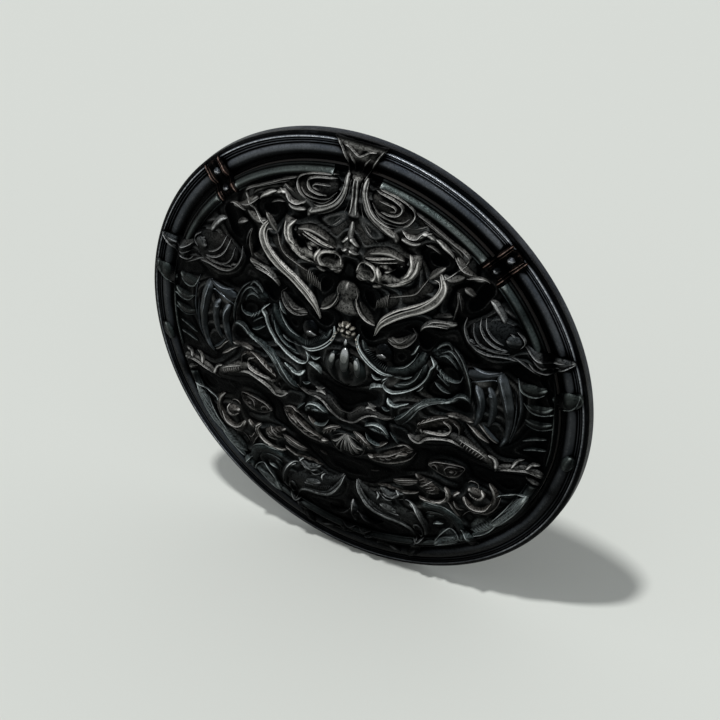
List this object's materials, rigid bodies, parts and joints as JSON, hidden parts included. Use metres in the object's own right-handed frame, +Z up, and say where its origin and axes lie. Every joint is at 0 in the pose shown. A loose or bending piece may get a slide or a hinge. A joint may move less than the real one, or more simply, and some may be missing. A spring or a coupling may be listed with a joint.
{
  "type": "embossed round shield",
  "caption": "Round domed shield of blackened steel over a wooden board, covered in applied scroll, mask and leaf relief inside a moulded rim, with arm strap, hand grip and hanging ring behind.",
  "frame": {"origin": "on the shield's axis in the plane of the rim's back, where the forearm crosses it", "axes": "+Z up as the shield is carried, the face looks towards -Y, +X to the viewer's right of the face"},
  "size_m": [0.5699, 0.1081, 0.57],
  "materials": {
    "board_wood": "old limewood, oiled",
    "lining_leather": "worn brown hide",
    "ground_steel": "blackened, glossy in the hollows",
    "rim_steel": "blued and blackened, bright at the beads",
    "moulding_steel": "blackened, greenish, polished crests",
    "clasp_iron": "brown patina",
    "stud_steel": "pale worn steel",
    "black_relief": "blackened, worn bright on the crests",
    "bone_relief": "bone grey, pitted",
    "bright_relief": "bright steel edges",
    "gilt_relief": "rubbed gilding",
    "pad_leather": "stuffed hide",
    "strap_leather": "waxed strap leather",
    "grip_leather": "wrapped hide",
    "iron_fittings": "forged, dark",
    "rivet_iron": "hammered heads",
    "buckle_iron": "worn iron"
  },
  "bodies": {
    "shield": {"almond_eyes": "black_relief", "arm_pad": "pad_leather", "bottom_arches": "black_relief", "bottom_bud": "black_relief", "bottom_leaf_left": "black_relief", "bottom_leaf_right": "black_relief", "brow_blade_left": "bright_relief", "brow_blade_right": "bright_relief", "cheek_leaves": "black_relief", "cheek_ridges": "black_relief", "cheek_volutes": "black_relief", "chin_fan": "black_relief", "chin_leaves": "black_relief", "clasp_studs": "stud_steel", "clasps": "clasp_iron", "corner_panels": "black_relief", "crown_scrolls": "black_relief", "eye_bosses": "black_relief", "eye_rims": "black_relief", "eyelids": "black_relief", "face_sheet": "ground_steel", "finial": "black_relief", "forehead_plate": "bone_relief", "frame_fillets": "black_relief", "grip_bracket": "iron_fittings", "grip_wrap": "grip_leather", "jaw_leaves": "black_relief", "jaw_volutes": "black_relief", "leather_lining": "lining_leather", "lip_band": "black_relief", "lower_brow_left": "black_relief", "lower_brow_right": "black_relief", "moulding_bottoms": "moulding_steel", "moulding_sides": "moulding_steel", "moulding_tops": "moulding_steel", "moustache_curls": "black_relief", "neck_scrolls": "black_relief", "nose_boss": "black_relief", "rim_nails": "iron_fittings", "rim_ring": "rim_steel", "ring_staple": "iron_fittings", "roundels": "black_relief", "side_cells": "moulding_steel", "side_scrolls": "black_relief", "skull_left": "bone_relief", "skull_right": "bone_relief", "star_rosette": "gilt_relief", "strap_keeper": "strap_leather", "strap_long": "strap_leather", "strap_rivets": "rivet_iron", "strap_short": "strap_leather", "temple_columns": "black_relief", "temple_leaves": "black_relief", "wing_scrolls": "black_relief", "wood_core": "board_wood"},
    "ring": {"hanging_ring": "iron_fittings"},
    "buckle": {"buckle_frame": "buckle_iron"},
    "tongue": {"buckle_tongue": "buckle_iron"}
  },
  "joints": [
    {"name": "ring_swing", "type": "hinge", "parent": "shield", "child": "ring", "pos_m": [0, -0.01421, 0.20377], "axis": [1, 0, 0], "range_deg": [-12, 150]},
    {"name": "buckle_lift", "type": "hinge", "parent": "shield", "child": "buckle", "pos_m": [0.075, 0.0405, 0.014], "axis": [1, 0, 0], "range_deg": [0, 8]},
    {"name": "tongue_swing", "type": "hinge", "parent": "buckle", "child": "tongue", "pos_m": [0.075, 0.0405, 0.014], "axis": [1, 0, 0], "range_deg": [0, 60]}
  ]
}
